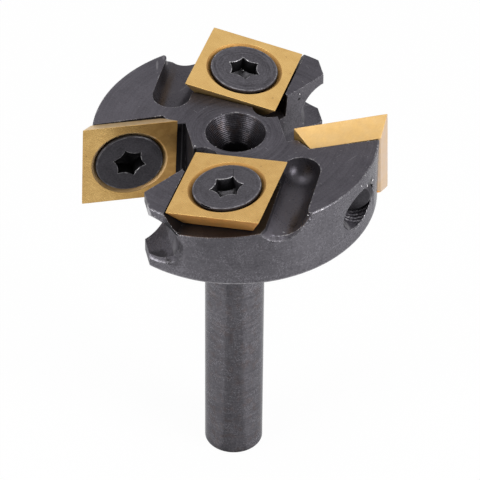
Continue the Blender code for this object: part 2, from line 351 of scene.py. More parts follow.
def rimRing(radius, z, nick):
    ring = []
    for i, (x, y, height) in enumerate(circleRing(radius, z, screw["steps"])):
        hit = nick is not None and abs(i - nick % 360 / 360 * screw["steps"]) < nickCut["halfWidth"]
        share = 1 - nickCut["depth"] / radius if hit else 1
        ring.append((x * share, y * share, height - (nickCut["drop"] if hit else 0)))
    return ring


def screwMesh(name, turn, nick):
    s = screw
    steps, top, rim = s["steps"], s["top"], s["rimWidth"]
    core = s["thread"] - s["ridge"]
    land = top - s["land"]
    coneFoot = land - (s["head"] - core)
    end = top - s["length"]
    floor = top - s["recess"]
    rings = [recessRing(top - s["recessLip"], turn),
             recessRing(top, turn, 1.0, s["recessLip"]),
             recessRing(top, turn, 1.0, s["recessLip"] + s["rubWidth"]),
             circleRing((s["head"] + s["point"]) / 2, top, steps),
             circleRing(s["head"] - rim, top, steps),
             *[rimRing(s["head"] - rim * inwards, top - rim * down, nick)
               for inwards, down in s["rimCurve"]],
             circleRing(s["head"], top - rim * s["rimFoot"], steps),
             circleRing(s["head"], land, steps),
             circleRing(core, coneFoot, steps),
             circleRing(core, end + s["endChamfer"] - s["ridge"], steps),
             circleRing(s["thread"] - s["endChamfer"], end, steps),
             [(0, 0, end)]]
    well = [[(0, 0, floor - s["dimple"])],
            recessRing(floor - s["dimple"] * s["dimpleWall"], turn, s["dimpleShare"]),
            recessRing(floor, turn),
            recessRing(top - s["recessLip"] - s["rubWidth"], turn)]
    mesh = loftMesh(name, well + rings)
    # How rubbed each point is: fully at the recess's lip, not at all a little way off.
    first = 1 + steps * 3
    rubbed = mesh.attributes.new("rubbed", "FLOAT", "POINT")
    rubbed.data.foreach_set("value", [float(first <= i < first + 2 * steps)
                                      for i in range(len(mesh.vertices))])
    return mesh


# A Geometry Nodes tree with its sizes as named inputs, ending in plain painted mesh.
class GrowthTree(Wiring):
    def __init__(self, name, sizes):
        super().__init__(bpy.data.node_groups.new(name, "GeometryNodeTree"))
        face = self.tree.interface
        face.new_socket("Geometry", in_out="INPUT", socket_type="NodeSocketGeometry")
        for size in sizes:
            face.new_socket(size, in_out="INPUT", socket_type="NodeSocketFloat")
        face.new_socket("Material", in_out="INPUT", socket_type="NodeSocketMaterial")
        face.new_socket("Geometry", in_out="OUTPUT", socket_type="NodeSocketGeometry")
        sockets = self.node("NodeGroupInput").socket.node.outputs
        self.given = {socket.name: Wire(self, socket) for socket in sockets}

    def finish(self, geometry):
        real = self.node("GeometryNodeRealizeInstances", None, {0: geometry})
        painted = self.node("GeometryNodeSetMaterial", None,
                            {"Geometry": real, "Material": self.given["Material"]})
        self.node("NodeGroupOutput", None, {0: painted})
        return self.tree


# A helical ridge round a wall, put beside the mesh that it grows on; its foot is a share of
# the pitch.
threadShape = dict(resolution=40, foot=0.4)


def threadTree():
    s = threadShape
    g = GrowthTree("helicalThread", ["Wall Radius", "Ridge Height", "Pitch", "Length", "Start"])
    given = g.given
    helix = g.node("GeometryNodeCurveSpiral", None,
                   {"Resolution": s["resolution"], "Rotations": given["Length"] / given["Pitch"],
                    "Start Radius": given["Wall Radius"], "End Radius": given["Wall Radius"],
                    "Height": given["Length"], "Reverse": True})
    upright = g.node("GeometryNodeSetCurveNormal", dict(mode="Z_UP"), {"Curve": helix})
    foot = given["Pitch"] * s["foot"]
    profile = g.node("GeometryNodeCurvePrimitiveQuadrilateral", dict(mode="KITE"),
                     {"Width": given["Ridge Height"] * 2, "Bottom Height": foot,
                      "Top Height": foot})
    ridge = g.node("GeometryNodeCurveToMesh", None,
                   {"Curve": upright, "Profile Curve": profile, "Fill Caps": True})
    lift = g.node("ShaderNodeCombineXYZ", None, {"Z": given["Start"]})
    lifted = g.node("GeometryNodeTransform", None, {"Geometry": ridge, "Translation": lift})
    joined = g.node("GeometryNodeJoinGeometry", None, {0: given["Geometry"]})
    g.tree.links.new(lifted.socket, joined.socket.node.inputs[0])
    return g.finish(joined)


# Small flecks of metal left standing on sharp edges, in clusters.
fleckShape = dict(sharpAngle=0.7, clusterScale=190.0, clusterAbove=0.52,
                  smallest=(0.4, 0.3, 0.25), largest=(1.5, 0.8, 0.6),
                  seeds=dict(kept=11, turn=12, size=13))


def burrTree():
    s = fleckShape
    g = GrowthTree("burrFlecks", ["Spacing", "Share", "Fleck Size", "Lowest"])
    given = g.given
    sharp = g.node("GeometryNodeInputMeshEdgeAngle") > s["sharpAngle"]
    place = g.node("GeometryNodeInputPosition")
    high = g.node("ShaderNodeSeparateXYZ", None, {0: place}, out=2) > given["Lowest"]
    lines = g.node("GeometryNodeMeshToCurve", None,
                   {"Mesh": given["Geometry"], "Selection": sharp * high})
    spaced = g.node("GeometryNodeResampleCurve", dict(mode="LENGTH"),
                    {"Curve": lines, "Length": given["Spacing"]})
    cluster = g.node("ShaderNodeTexNoise", None, {"Vector": place, "Scale": s["clusterScale"]})
    cluster = cluster > s["clusterAbove"]
    seeds = s["seeds"]
    kept = g.node("FunctionNodeRandomValue", dict(data_type="BOOLEAN"),
                  {6: given["Share"] * cluster, 8: seeds["kept"]}, out=3)
    turn = g.node("FunctionNodeRandomValue", dict(data_type="FLOAT_VECTOR"),
                  {0: (0, 0, 0), 1: [2 * pi] * 3, 8: seeds["turn"]})
    size = g.node("FunctionNodeRandomValue", dict(data_type="FLOAT_VECTOR"),
                  {0: s["smallest"], 1: s["largest"], 8: seeds["size"]})
    fleck = g.node("GeometryNodeMeshIcoSphere", None,
                   {"Radius": given["Fleck Size"], "Subdivisions": 1})
    flecks = g.node("GeometryNodeInstanceOnPoints", None,
                    {"Points": spaced, "Selection": kept, "Instance": fleck,
                     "Rotation": turn, "Scale": size})
    return g.finish(flecks)


# Runs a node tree on a mesh and gives back the plain mesh.
def grownMesh(mesh, tree, sizes):
    helper = newObject("helper", mesh)
    modifier = helper.modifiers.new("grow", "NODES")
    modifier.node_group = tree
    for item in tree.interface.items_tree:
        if item.in_out == "INPUT" and item.name in sizes:
            modifier[item.identifier] = sizes[item.name]
    evaluated = helper.evaluated_get(bpy.context.evaluated_depsgraph_get())
    grown = bpy.data.meshes.new_from_object(evaluated)
    helper.modifiers.clear()
    bpy.data.objects.remove(helper)
    return grown


# A place told in a seat's own frame.
def seatPlace(place, seat):
    return [place[0] * row[0] + place[1] * row[1] + place[2] * row[2] + row[3]
            for row in seat.inverted()[:3]]


# What was cut round each insert, as limits along the axes of its own seat; lowest is a height
# on the body, feedScale the fineness of turned marks.
zones = dict(pocket=((-10.7 * mm, 11.4 * mm), (-15 * mm, 11.5 * mm), (-5.3 * mm, -0.25 * mm)),
             pocketWall=-7.7 * mm, ledge=11.33 * mm,
             besideInsert=((9.8 * mm, 12.7 * mm), (-1.9 * mm, 0.1 * mm)),
             gulletEnd=((11.4 * mm, 12.6 * mm), (0.1 * mm, 9 * mm)),
             gulletBack=dict(above=12.4 * mm, inside=9.6 * mm, lowest=77 * mm),
             tapped=dict(radius=4.7 * mm, below=-8 * mm), feedScale=2300)


# How a point sits on the body: its radius, masks for the places that were cut differently, and masks
# that place painted shade, sheen and highlights.
class BodyPlace:
    def __init__(self, sh, place):
        s = zones
        x, y, z = sh.axes(place)
        # The seats and grooves mirror each other through the axis, so one half is folded over.
        front, left = (y < 0) * 2 - 1, (x < 0) * 2 - 1
        self.radius = (x * x + y * y) ** 0.5
        self.z = z
        top = head["top"]
        self.onTop = z.smooth(top - 0.1 * mm, top - 0.04 * mm)
        # Painted sheen: the top face is lighter towards one side, where its turned marks catch the
        # light.
        self.paleSide = (-x / head["radius"]).smooth(0.25, 0.85) * self.onTop
        self.onShank = z < top - head["thickness"] - 0.2 * mm
        self.onRim = self.radius.smooth(head["radius"] - 0.3 * mm, head["radius"] - 0.2 * mm)
        self.inCone = ((self.radius < centreHole["mouth"] + 0.05 * mm)
                       * (z > top - centreHole["coneDepth"] - 0.1 * mm) * (1 - self.onTop))
        (startX, startY), (wayX, wayY) = chipGroove["start"], chipGroove["heading"]
        gx, gy = x * front - startX, y * front - startY
        along = gx * wayX + gy * wayY
        along = along.math("MAXIMUM", along, 0)
        ax, ay = gx - along * wayX, gy - along * wayY
        across = (ax * ax + ay * ay) ** 0.5
        self.inGroove = ((across < chipGroove["radius"] + 0.1 * mm) * (z > top - chipGroove["depth"])
                         * (1 - self.onTop) * (1 - self.onRim))
        # The sunken seats of the face inserts, and the walls beside and before the upright ones.
        inner = (1 - self.onTop) * (1 - self.onRim)
        fx, fy, fz = seatPlace((x * front, y * front, z), seats["faceFront"])
        spanX, spanY, spanZ = s["pocket"]
        self.inPocket = fx.between(*spanX) * fy.between(*spanY) * fz.between(*spanZ) * inner
        self.pocketWall = (fx < s["pocketWall"]) * self.inPocket
        lx, ly, lz = seatPlace((x * left, y * left, z), seats["sideLeft"])
        spanX, spanZ = s["besideInsert"]
        self.besideInsert = lx.between(*spanX) * lz.between(*spanZ) * inner
        # A painted highlight along the ledge beside each upright insert.
        ledge = (lx - s["ledge"]).absolute().smooth(0.2 * mm, 0.08 * mm)
        self.ledgeLine = ledge * self.besideInsert
        spanX, spanZ = s["gulletEnd"]
        self.gulletEnd = lx.between(*spanX) * lz.between(*spanZ) * inner
        back, hole = s["gulletBack"], s["tapped"]
        self.gulletBack = (lz > back["above"]) * (lx < back["inside"]) * (z > back["lowest"]) * inner
        self.inTapped = ((lx * lx + ly * ly) ** 0.5 < hole["radius"]) * (lz < hole["below"])
        profile = self.radius * self.onTop + z * (1 - self.onTop)
        self.spin = sh.turnedMarks(x, y, self.radius, profile * s["feedScale"])


# Black oxide on turned and milled steel: dark satin, speckled grain, feed marks and rubbed edges, with
# painted shade in its hollows and a few painted highlights and sheens.
# Stains and painted shade, rubs and a painted highlight: where on the body in millimetres, how far each
# way, and how strong.
oxide = dict(low=(0.040, 0.037, 0.044), high=(0.112, 0.105, 0.122), worn=(0.42, 0.41, 0.425),
             soot=(0.010, 0.009, 0.010), rust=(0.085, 0.055, 0.045), tint=(0.45, 0.45, 0.47),
             groundLift=(1.66, 1.71, 1.62), roughness=0.36, metallic=0.6, specular=0.35,
             edgeRadius=0.13 * mm, burrRadius=0.45 * mm, cornerReach=7 * mm,
             turningPitch=0.35 * mm, footLift=0.25 * mm, bumpHeight=0.03 * mm,
             noises=dict(drift=(26, 1, 0.5), cloud=(240, 3, 0.55), grain=(2500, 4, 0.75),
                         fine=(5600, 2, 0.6), rusty=(620, 2, 0.6, 0.5, 0.68),
                         broken=(900, 3, 0.65, 0.44, 0.62), clusters=(170, 2, 0.5, 0.42, 0.56),
                         chips=(2300, 2, 0.5, 0.53, 0.6)), specks=820, speckPatches=380,
             scratches=(((0.5, 0.3, 0.9), (2600, 130, 700), (0.72, 0.76)),
                        ((0.2, 0.7, -0.6), (2600, 120, 700), (0.73, 0.77))),
             # Painted shade: the patches at the driver way's lip, the pocket corner, the rim by the
             # scallop and the groove's lip and wall.
             stains=dict(driverWayLip=((-11.05, -27.1, 80.2), (0.8, 1.2, 1.9), 0.6),
                         scallopLip=((-15.8, -25.0, 75.2), (4.0, 2.6, 0.95), 0.62),
                         scallopEnd=((-13.3, -25.9, 75.4), (1.2, 1.4, 0.8), 0.12),
                         toothSmudge=((-14.5, -18.6, 76.4), (1.7, 1.9, 1.6), 0.35),
                         wallPit=((13.24, 14.22, 84.91), (0.45, 0.45, 0.4), 0.95),
                         holeCurls=((27.5, -11.3, 83.6), (1.5, 2.6, 1.0), 0.75),
                         pocketCorner=((-12.9, -26.6, 85.3), (2.2, 1.3, 2.4), 0.85),
                         rimSmudge=((-12.3, -27.1, 75.9), (2.2, 1.8, 2.6), 0.35),
                         grooveLip=((7.9, -28.2, 83.2), (1.9, 1.1, 0.9), 0.75),
                         grooveWall=((11.6, -23.8, 84.9), (1.3, 4.2, 1.6), 0.6)),
             # The rub on the tooth's side is a painted highlight.
             rubs=dict(toothSide=((-17.5, -23.2, 86.0), (0.6, 2.3, 1.9), 1.0),
                       scallopStrip=((-12.2, -24.6, 78.2), (0.4, 1.9, 1.9), 0.16),
                       leadFoot=((22.6, -16.8, 77.3), (1.7, 1.4, 1.3), 0.5),
                       farStrip=((14.25, 18.8, 76.8), (0.4, 3.8, 1.3), 0.22),
                       tipWall=((-14.7, 24.4, 86.5), (0.5, 1.0, 0.7), 0.45),
                       tipLip=((-15.4, 24.6, 87.6), (0.35, 1.3, 0.5), 0.22),
                       tipScrape=((-16.7, 21.6, 87.6), (0.22, 1.7, 0.4), 0.25)))


def oxideMaterial():
    s = oxide
    material, sh = newMaterial("blackOxide")
    place = sh.node("ShaderNodeTexCoord", out=3)
    at = BodyPlace(sh, place)
    ground = (at.onRim + at.onShank).clamped()
    towardsCentre = at.radius.smooth(15 * mm, 8 * mm)
    turnedWall = at.onRim * 0.4 + at.onShank * 0.9 + at.onTop * (0.5 + towardsCentre * 0.8)
    turning = sh.noise(at.spin, 1.0, 3, 0.6) - 0.5

    drift, cloud, grain, fine, rusty, broken, clusters, chips = sh.noises(place, s["noises"])
    sandy = 1 - at.onTop * 0.5 - at.inGroove * 0.6
    feed = (at.z + cloud * 0.25 * mm) * (2 * pi / s["turningPitch"])
    feed = feed.math("SINE", feed)
    # Painted shade: the shank grows darker towards its foot.
    faded = at.onShank * (1 - at.z / (head["top"] - head["thickness"])) * 0.3
    tone = 0.46 + at.paleSide * 0.3 - faded + drift * 0.4 + cloud * 0.6
    tone = tone + (grain * 2.0 + fine * 1.8) * sandy
    # The grooves get a little lighter: a painted sheen along their floors.
    tone = (tone + turning * turnedWall * 1.4 + at.inGroove * 0.12).clamped()
    color = sh.mixed(tone, s["low"], s["high"])
    lift = at.onShank + at.onRim * 0.8 + at.gulletBack * 0.6
    color = sh.mixed(lift.clamped(), color, sh.scaled(color, s["groundLift"]))
    color = sh.mixed(rusty * (at.onShank * 0.3 + at.inCone * 0.5), color, s["rust"])

    # Edges: a narrow rubbed line, and a wider strip where burrs and chips catch the light.
    rounded, narrowTurn = sh.roundedEdge(s["edgeRadius"])
    wideTurn = sh.roundedEdge(s["burrRadius"], 5)[1]
    openAir = sh.openAir(s["cornerReach"])
    edge = narrowTurn.smooth(0.02, 0.2) * openAir.smooth(0.35, 0.7) * (0.18 + broken * 0.6)
    chips = chips * wideTurn.smooth(0.004, 0.03) * clusters
    # Painted highlights: a line along the head's lower edge, where its small chamfer catches the light,
    # and the line along the ledge beside each upright insert.
    footLine = head["top"] - head["thickness"] + s["footLift"]
    foot = (at.z - footLine).absolute().smooth(0.26 * mm, 0.14 * mm)
    outermost = at.radius > head["radius"] - 0.3 * mm
    edge = edge + foot * outermost * (0.3 + broken * 0.25) + at.ledgeLine * 0.16

    # Specks and short scratches anywhere.
    cells = sh.node("ShaderNodeTexVoronoi", None, {"Vector": place, "Scale": s["specks"]})
    speck = cells.smooth(0.14, 0.08) * (sh.noise(place, s["speckPatches"], 1, 0.5) > 0.57)
    speck = speck * (1 + at.gulletBack * 2 - at.onShank * 0.7)
    scratches = sum(sh.noise(sh.scaled(sh.turned(place, turn), stretch), 1.0, 2, 0.4).smooth(*rise)
                    for turn, stretch, rise in s["scratches"])
    wear = edge + chips * 0.8 + speck * 0.24 + scratches * 0.2
    for centre, size, share in s["rubs"].values():
        wear = wear + sh.spot(place, centre, size, cloud * 1.6) * share
    stain = sum(sh.spot(place, centre, size, cloud * 1.6 + grain) * share
                for centre, size, share in s["stains"].values())
    wear = wear.clamped() * (1 - stain.clamped() * 0.8)
    color = sh.mixed(wear, color, s["worn"])
    # Painted shade, with some oil and soot, darkens the corners, the grooves, the centre hole, the
    # pockets and walls by the inserts and the patches listed above; the tapped holes get less of it.
    clean = (openAir.smooth(0.05, 0.85) + at.inTapped * 0.75).clamped()
    color = sh.mixed((1 - clean) * (1 - wear * 0.6) * 0.85, color, s["soot"])
    oily = at.inPocket * 0.62 + at.besideInsert * (1 - at.ledgeLine) * 0.8 + at.gulletEnd * 0.5
    oily = oily + at.inCone * (0.56 + feed * 0.3) + at.pocketWall * 0.6 + stain
    color = sh.mixed((oily * (1 - wear * 0.7)).clamped(), color, s["soot"])

    milled = (at.inGroove + at.inCone).clamped()
    rough = s["roughness"] + grain * 0.3 + cloud * 0.2 - wear * 0.1 - at.inCone * 0.14
    rough = rough - at.inGroove * 0.05 - ground * 0.12
    height = (grain * 1.1 * (1 - milled * 0.7) + fine * 0.5) * (1 - ground * 0.6)
    height = height + turning * turnedWall * 1.2
    height = height + (feed * (0.6 + broken * 0.7) + grain) * at.inCone * 0.9
    sh.surface({"Base Color": color, "Metallic": s["metallic"], "Roughness": rough,
                "Normal": sh.bumped(height, s["bumpHeight"], 0.6, rounded),
                "Specular IOR Level": s["specular"], "Specular Tint": (*s["tint"], 1)})
    return material


# Bare steel of burrs and chipped spots, and of the bright flecks that stand in for highlights.
bareSteel = dict(low=(0.16, 0.157, 0.163), high=(0.66, 0.645, 0.65), toneScale=1500,
                 metallic=0.7, roughness=0.4)


def burrMaterial():
    s = bareSteel
    material, sh = newMaterial("brightBurr")
    place = sh.node("ShaderNodeTexCoord", out=3)
    tone = sh.noise(place, s["toneScale"], 2, 0.5).smooth(0.35, 0.65)
    sh.surface({"Base Color": sh.mixed(tone, s["low"], s["high"]), "Metallic": s["metallic"],
                "Roughness": s["roughness"] - tone * 0.1})
    return material


# Gold nitride over ground carbide: fine grinding lines, warm blotches, pits and honed edges, with
# painted shade on some inserts and in their bores and a painted rosy sheen on their flanks.
gold = dict(pale=(0.76, 0.50, 0.19), deep=(0.60, 0.365, 0.115), brown=(0.42, 0.23, 0.07),
            tan=(0.50, 0.34, 0.165), amber=(0.92, 0.43, 0.12), rose=(0.61, 0.47, 0.36),
            rosePale=(0.72, 0.57, 0.36), bright=(0.93, 0.76, 0.46), pit=(0.20, 0.11, 0.05),
            roughness=0.27, metallic=0.84, edgeRadius=0.08 * mm, bumpHeight=0.01 * mm,
            grinding=dict(turn=(0, 0, 0.5), stretch=(420, 4600, 2600)),
            noises=dict(cloud=(260, 4, 0.6), grain=(3600, 2, 0.6), blots=(620, 3, 0.6, 0.36, 0.66),
                        broken=(1200, 2, 0.6, 0.4, 0.6), pitted=(260, 1, 0.5, 0.56, 0.62)),
            pits=560)


def goldMaterial():
    s = gold
    grinding = s["grinding"]
    material, sh = newMaterial("goldNitride")
    place = sh.node("ShaderNodeTexCoord", out=3)
    local = sh.attribute("localPlace", out=1)
    lx, ly, lz = sh.axes(local)
    # Painted shade: how much darker and browner each insert is, partly a browned coat, and how much
    # more towards its inner side, where it mirrors the dark wall beside it.
    depth, rosy, lean = [sh.attribute(name) for name in ("coatDepth", "flankRose", "coatLean")]
    depth = depth + lean * (lx * (1 / insert["half"])).smooth(-0.9, 1.0)
    flank = lz < -insert["hone"]
    outward, upper, lower = [flank * (facing > across.absolute())
                             for facing, across in ((-lx, ly), (ly, lx), (-ly, lx))]
    lines = sh.scaled(sh.turned(local, grinding["turn"]), grinding["stretch"])
    lines = sh.noise(lines, 1.0, 3, 0.6) - 0.5
    cloud, grain, blots, broken, pitted = sh.noises(place, s["noises"])
    tone = (0.5 + cloud * 0.9 + lines * 0.9 + grain * 0.35 + depth).clamped()
    color = sh.mixed(tone, s["pale"], s["deep"])
    color = sh.mixed((depth * (1.1 + blots) + cloud * 0.5).clamped(), color, s["brown"])
    # Rosy tints on the outer and upper flanks: partly a thinner coat, partly a painted reflection of
    # grazing side light.
    color = sh.mixed((rosy * outward * (0.75 + blots * 0.3 + cloud)).clamped(), color, s["rose"])
    color = sh.mixed((rosy * (1 - rosy) * upper * (1.3 + blots)).clamped(), color, s["rosePale"])
    color = sh.mixed((lower * (0.35 + depth * 2.4 + cloud)).clamped(), color, s["amber"])
    rounded, edge = sh.roundedEdge(s["edgeRadius"])
    color = sh.mixed(edge.smooth(0.02, 0.2) * broken * 0.3, color, s["bright"])
    pits = sh.node("ShaderNodeTexVoronoi", None, {"Vector": place, "Scale": s["pits"]})
    color = sh.mixed(pits.smooth(0.13, 0.06) * pitted * 0.55, color, s["pit"])
    # The countersink and bore are brown, partly a painted shade that dims the lamps' reflections there,
    # or, on the insert with painted inner shade, tan on their lower side.
    inBore = (lx * lx + ly * ly) ** 0.5 < lz * 0.6 + insert["countersink"]
    color = sh.mixed(inBore * (0.95 - lean * 1.9), color, s["brown"])
    color = sh.mixed(inBore * lean * 1.9 * ly.smooth(6 * mm, -1 * mm), color, s["tan"])
    rough = s["roughness"] + lines * 0.2 + cloud * 0.1 + depth * 0.1 + inBore * 0.2 + flank * 0.14
    sh.surface({"Base Color": color, "Metallic": s["metallic"], "Roughness": rough,
                "Normal": sh.bumped(lines * 0.9 + grain * 0.3, s["bumpHeight"], 0.35, rounded)})
    return material


# Blackened screws: lathe rings round the head, a rubbed rim line and recess edge, painted shade in the
# hollows and recess and painted light on some recess floors.
blackened = dict(low=(0.040, 0.037, 0.043), high=(0.112, 0.106, 0.121), worn=(0.42, 0.41, 0.425),
                 soot=(0.006, 0.006, 0.006), tint=(0.6, 0.6, 0.62), roughness=0.36, metallic=0.6,
                 specular=0.4, edgeRadius=0.12 * mm, cornerReach=6 * mm, bumpHeight=0.03 * mm,
                 noises=dict(grain=(2800, 3, 0.65), cloud=(330, 3, 0.5),
                             broken=(1000, 3, 0.6, 0.42, 0.6), ragged=(1400, 3, 0.7, 0.42, 0.58)),
                 ringScale=2600)


def screwMaterial():
    s = blackened
    material, sh = newMaterial("blackenedScrew")
    place = sh.node("ShaderNodeTexCoord", out=3)
    lx, ly, lz = sh.axes(sh.attribute("localPlace", out=1))
    radius = (lx * lx + ly * ly) ** 0.5
    top = screw["top"]
    onHead = lz > top - 0.04 * mm
    own = {name: sh.attribute(name)
           for name in ("oilDepth", "ringDepth", "wellSoot", "wellLit", "scoreTurn", "scoreSide",
                        "scoreReach", "rubbed")}
    spin = sh.turnedMarks(lx, ly, radius, radius * s["ringScale"])
    rings = (sh.noise(spin, 1.0, 3, 0.65) - 0.5) * onHead * radius.smooth(3.4 * mm, 5 * mm)
    rings = rings * own["ringDepth"]
    grain, cloud, broken, ragged = sh.noises(place, s["noises"])
    tone = (0.5 + cloud * 0.6 + grain * 2.0 + rings * 2.4).clamped()
    color = sh.mixed(tone, s["low"], s["high"])

    rounded, edge = sh.roundedEdge(s["edgeRadius"])
    openAir = sh.openAir(s["cornerReach"])
    rimLine = (radius - (screw["head"] - screw["rimWidth"])).absolute()
    rimLine = rimLine.smooth(0.11 * mm, 0.04 * mm) * onHead
    high = lz > top - 0.25 * mm
    lip = own["rubbed"].smooth(0.3, 0.9) * high * (0.1 + ragged * 0.8)
    wear = edge.smooth(0.02, 0.16) * high * (0.15 + broken * 0.4)
    wear = (wear + rimLine * (0.1 + broken * 0.5) + lip).clamped()
    color = sh.mixed(wear, color, s["worn"])
    # Painted light on the recess's floor, as much as each screw has, and painted shade in the hollows
    # and on the recess's walls.
    inWell = (radius < screw["point"]) * lz.between(top - 5 * mm, top - 0.12 * mm)
    lit = inWell * (lz < top - screw["recess"] + 0.05 * mm) * own["wellLit"]
    color = sh.mixed(lit * (0.4 + ragged * 0.3), color, s["worn"])
    color = sh.mixed((1 - openAir.smooth(0.0, 0.8)) * (0.9 - lit * 0.9), color, s["soot"])
    color = sh.mixed(inWell * (1 - wear) * (1 - lit) * own["wellSoot"], color, s["soot"])
    # The far end, deep in its tapped hole, is darker.
    color = sh.mixed((lz < top - screw["length"] + 2 * mm) * 0.4, color, s["soot"])
    # A scored line out from the recess, on the screw that has one.
    turnCos, turnSin = [own["scoreTurn"].math(kind, own["scoreTurn"]) for kind in ("COSINE", "SINE")]
    across = (ly * turnCos - lx * turnSin - own["scoreSide"] + cloud * (0.2 * mm)).absolute()
    along = lx * turnCos + ly * turnSin
    score = across.smooth(0.12 * mm, 0.05 * mm) * along.between(3.2 * mm, own["scoreReach"])
    color = sh.mixed(score * 0.75, color, s["soot"])
    # Each head is darker by its own share.
    color = sh.mixed(own["oilDepth"], color, s["soot"])
    sh.surface({"Base Color": color, "Metallic": s["metallic"],
                "Roughness": s["roughness"] + grain * 0.3 - wear * 0.1,
                "Normal": sh.bumped(rings * 1.6 + grain * 0.9, s["bumpHeight"], 0.6, rounded),
                "Specular IOR Level": s["specular"], "Specular Tint": (*s["tint"], 1)})
    return material


blackOxide = oxideMaterial()
brightBurr = burrMaterial()
goldNitride = goldMaterial()
blackenedScrew = screwMaterial()
print("finishes made")


# The thin corner where each chip groove's outer wall meets the rim is worn blunt.
mouthTip = dict(blunt=0.8 * mm, near=2.0 * mm, step=0.25 * mm, low=84.6 * mm, full=86.4 * mm,
                halvings=8)


# Where that corner stands at a height, on the front half, and the way along the groove.
def mouthCorner(z):
    sunk = max(head["top"] - chipGroove["depth"] + chipGroove["radius"] - z, 0)
    half = sqrt(max(chipGroove["radius"] ** 2 - sunk ** 2, 0))
    way = Vector(chipGroove["heading"])
    foot = Vector(chipGroove["start"]) + Vector((-way.y, way.x)) * half
    off = foot.dot(way)
    return foot + way * (sqrt(off ** 2 - foot.length_squared + head["radius"] ** 2) - off), way


def bluntMouths(bm):
    s = mouthTip

    def nearCorner(vertex, front):
        if vertex.co.z <= s["low"]:
            return False
        return (vertex.co.xy * front - mouthCorner(vertex.co.z)[0]).length < s["near"]

    for front in (1, -1):
        for _ in range(s["halvings"]):
            for edge in list(bm.edges):
                if edge.calc_length() > s["step"] and any(nearCorner(v, front) for v in edge.verts):
                    bmesh.utils.edge_split(edge, edge.verts[0], 0.5)
        for vertex in bm.verts:
            if nearCorner(vertex, front):
                corner, way = mouthCorner(vertex.co.z)
                alongRim = Vector((-corner.y, corner.x)).normalized()
                inward = (alongRim - way).normalized()
                angle = alongRim.angle(inward)
                rise = min((vertex.co.z - s["low"]) / (s["full"] - s["low"]), 1)
                radius = s["blunt"] * rise * rise * (3 - 2 * rise)
                middle = corner + inward * radius / sin(angle)
                off = vertex.co.xy * front - middle
                if off.length > radius and -off.normalized().dot(inward) > sin(angle):
                    vertex.co.xy = (middle + off.normalized() * radius) * front


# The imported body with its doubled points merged, so that turned walls can shade smoothly.
bodySkin = dict(merge=2e-6, flat=radians(0.4), smooth=28)


def bodyMesh():
    s = bodySkin
    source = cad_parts["cutter_body"].data
    mesh = bpy.data.meshes.new("cutterBody")
    mesh.from_pydata([v.co for v in source.vertices], [], [list(p.vertices) for p in source.polygons])
    bm = bmesh.new()
    bm.from_mesh(mesh)
    bmesh.ops.remove_doubles(bm, verts=bm.verts, dist=s["merge"])
    bmesh.ops.dissolve_limit(bm, angle_limit=s["flat"], verts=bm.verts, edges=bm.edges)
    bluntMouths(bm)
    bmesh.ops.triangulate(bm, faces=bm.faces)
    bmesh.ops.dissolve_degenerate(bm, dist=s["merge"], edges=bm.edges)
    bm.to_mesh(mesh)
    bm.free()
    smoothUnder(mesh, s["smooth"])
    return mesh


# Flecks along the cut edges, and a few larger marks: where on the body, then length and height.
# The marks at the centre hole's lip and in a screw recess are bright flecks that stand in for
# highlights.
burrs = dict(spacing=0.5 * mm, share=0.24, fleck=0.085 * mm, reach=14 * mm,
             marks=dict(centreLip=((0.15, 6.4, 87.62), 0.5, 0.08),
                        centreLipLeft=((-2.97, 5.69, 87.62), 0.16, 0.1),
                        grooveMouthRight=((14.7, -25.8, 87.55), 0.22, 0.12),
                        grooveMouthLeft=((9.85, -28.05, 84.9), 0.2, 0.12),
                        rimDent=((25.64, -15.08, 86.16), 0.28, 0.14),
                        seatCorner=((-8.33, -4.53, 87.6), 0.2, 0.1),
                        recessGlint=((1.44, 21.8, 86.35), 0.28, 0.2),
                        wallSpeckLow=((13.3, 14.15, 86.3), 0.2, 0.16),
                        wallSpeckHigh=((14.05, 16.6, 87.62), 0.16, 0.1),
                        holeCurlLow=((27.0, -12.4, 84.0), 0.2, 0.3),
                        holeCurlHigh=((28.2, -9.5, 83.0), 0.16, 0.26)))


def burrMesh(body):
    s = burrs
    mesh = grownMesh(body, burrTree(), {"Spacing": s["spacing"], "Share": s["share"],
                                        "Fleck Size": s["fleck"], "Material": brightBurr,
                                        "Lowest": head["top"] - s["reach"]})
    bm = bmesh.new()
    bm.from_mesh(mesh)
    for place, length, height in s["marks"].values():
        shape = (Matrix.Translation(Vector(place) * mm)
                 @ Matrix.Diagonal((length * mm, height * mm, height * mm, 1)))
        bmesh.ops.create_icosphere(bm, subdivisions=2, radius=1, matrix=shape)
    bm.to_mesh(mesh)
    bm.free()
    mesh.shade_smooth()
    return mesh


body = bodyMesh()
# The burr flecks, with the bright flecks that stand in for highlights.
showPiece("burrFlecks", burrMesh(body.copy()), brightBurr)
showPiece("cutterBody", body, blackOxide, ["cutter_body"])
print("body dressed")

# How much darker and browner each insert is (browned coat and painted shade), how rosy its flanks
# are (thinner coat and a painted reflection), and its painted shade towards its inner side.
coats = dict(faceFront=(0.16, 0.1, 0), faceBack=(0.02, 0.1, 0), sideLeft=(0.0, 0.6, 0.48),
             sideRight=(0.14, 0.9, 0))
for where, seat in seats.items():
    mesh = insertMesh(where + "Insert")
    depth, rose, lean = coats[where]
    keepLocalPlace(mesh, seat, coatDepth=depth, flankRose=rose, coatLean=lean)
    smoothUnder(mesh, insert["smooth"])
    showPiece(where + "Insert", mesh, goldNitride, [nodeNames[where][0]])
print("inserts made")

